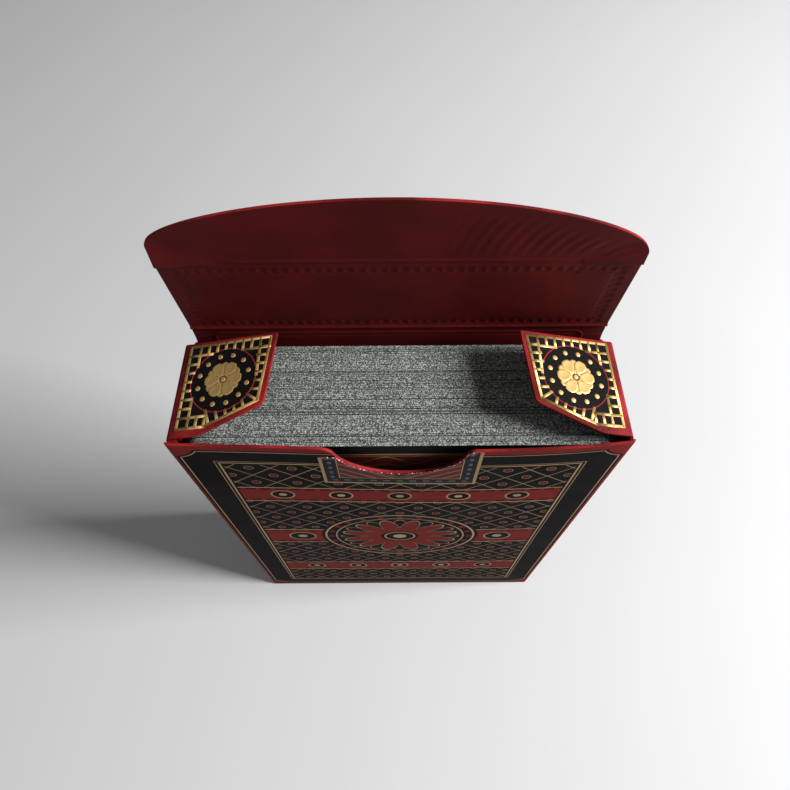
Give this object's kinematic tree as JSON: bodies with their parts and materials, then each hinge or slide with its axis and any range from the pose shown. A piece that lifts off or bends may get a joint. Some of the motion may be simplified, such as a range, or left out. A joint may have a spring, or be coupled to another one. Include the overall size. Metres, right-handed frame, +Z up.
{
  "type": "playing card deck",
  "caption": "Pack of playing cards standing in an open tuck case, with hinged lid, tuck flap and dust flaps, a thumb notch and a torn paper seal.",
  "frame": {"origin": "middle of the case's base, on the surface that it stands on", "axes": "+X across the case, +Y from front to back, +Z up"},
  "size_m": [0.0652, 0.0193, 0.123],
  "materials": {
    "printed_board": "matte black print with red lines and gold foil on solid board, red inside and along the edges",
    "board_lining": "uncoated dark red board",
    "seal_paper": "thin printed paper with gold lines and a torn edge",
    "card_stock": "embossed coated card stock with grey cut edges"
  },
  "bodies": {
    "case": {"front_panel": "printed_board", "back_panel": "printed_board", "left_side_panel": "printed_board", "right_side_panel": "printed_board", "glue_flap": "board_lining", "bottom_panel": "printed_board", "bottom_inner_flap": "board_lining", "bottom_dust_flap_left": "board_lining", "bottom_dust_flap_right": "board_lining", "seal_label": "seal_paper"},
    "lid": {"lid_panel": "printed_board"},
    "tuck_flap": {"lid_tuck_flap": "printed_board"},
    "left_dust_flap": {"dust_flap_left": "printed_board"},
    "right_dust_flap": {"dust_flap_right": "printed_board"},
    "deck": {"jokers": "card_stock", "ace_of_spades": "card_stock", "two_of_spades": "card_stock", "three_of_spades": "card_stock", "four_of_spades": "card_stock", "five_of_spades": "card_stock", "six_of_spades": "card_stock", "seven_of_spades": "card_stock", "eight_of_spades": "card_stock", "nine_of_spades": "card_stock", "ten_of_spades": "card_stock", "ace_of_diamonds": "card_stock", "two_of_diamonds": "card_stock", "three_of_diamonds": "card_stock", "four_of_diamonds": "card_stock", "five_of_diamonds": "card_stock", "six_of_diamonds": "card_stock", "seven_of_diamonds": "card_stock", "eight_of_diamonds": "card_stock", "nine_of_diamonds": "card_stock", "ten_of_diamonds": "card_stock", "ace_of_clubs": "card_stock", "two_of_clubs": "card_stock", "three_of_clubs": "card_stock", "four_of_clubs": "card_stock", "five_of_clubs": "card_stock", "six_of_clubs": "card_stock", "seven_of_clubs": "card_stock", "eight_of_clubs": "card_stock", "nine_of_clubs": "card_stock", "ten_of_clubs": "card_stock", "ace_of_hearts": "card_stock", "two_of_hearts": "card_stock", "five_of_hearts": "card_stock", "six_of_hearts": "card_stock", "seven_of_hearts": "card_stock", "eight_of_hearts": "card_stock", "nine_of_hearts": "card_stock", "ten_of_hearts": "card_stock", "court_cards_of_spades": "card_stock", "court_cards_of_diamonds": "card_stock", "court_cards_of_clubs": "card_stock", "court_cards_of_hearts": "card_stock"},
    "third_card": {"three_of_hearts": "card_stock"},
    "fourth_card": {"four_of_hearts": "card_stock"}
  },
  "joints": [
    {"name": "lid_hinge", "type": "hinge", "parent": "case", "child": "lid", "pos_m": [0, 0.00937, 0.0931], "axis": [-1, 0, 0], "range_deg": [-86.2, 100]},
    {"name": "tuck_flap_hinge", "type": "hinge", "parent": "lid", "child": "tuck_flap", "pos_m": [0, 0.00816, 0.11129], "axis": [-1, 0, 0], "range_deg": [-91.2, 20]},
    {"name": "left_flap_hinge", "type": "hinge", "parent": "case", "child": "left_dust_flap", "pos_m": [-0.03242, 0, 0.09256], "axis": [0, -1, 0], "range_deg": [-17, 160]},
    {"name": "right_flap_hinge", "type": "hinge", "parent": "case", "child": "right_dust_flap", "pos_m": [0.03242, 0, 0.09256], "axis": [0, 1, 0], "range_deg": [-17, 160]},
    {"name": "deck_shift", "type": "slide", "parent": "case", "child": "deck", "axis": [0, -1, 0], "range_m": [-0.00095, 0]},
    {"name": "third_card_draw", "type": "slide", "parent": "deck", "child": "third_card", "axis": [0, 0, 1], "range_m": [0, 0.075]},
    {"name": "fourth_card_draw", "type": "slide", "parent": "deck", "child": "fourth_card", "axis": [0, 0, 1], "range_m": [0, 0.075]}
  ],
  "couplings": [
    {"joint": "left_flap_hinge", "follows": "lid_hinge", "ratio": 0.16241},
    {"joint": "right_flap_hinge", "follows": "lid_hinge", "ratio": 0.16241}
  ]
}
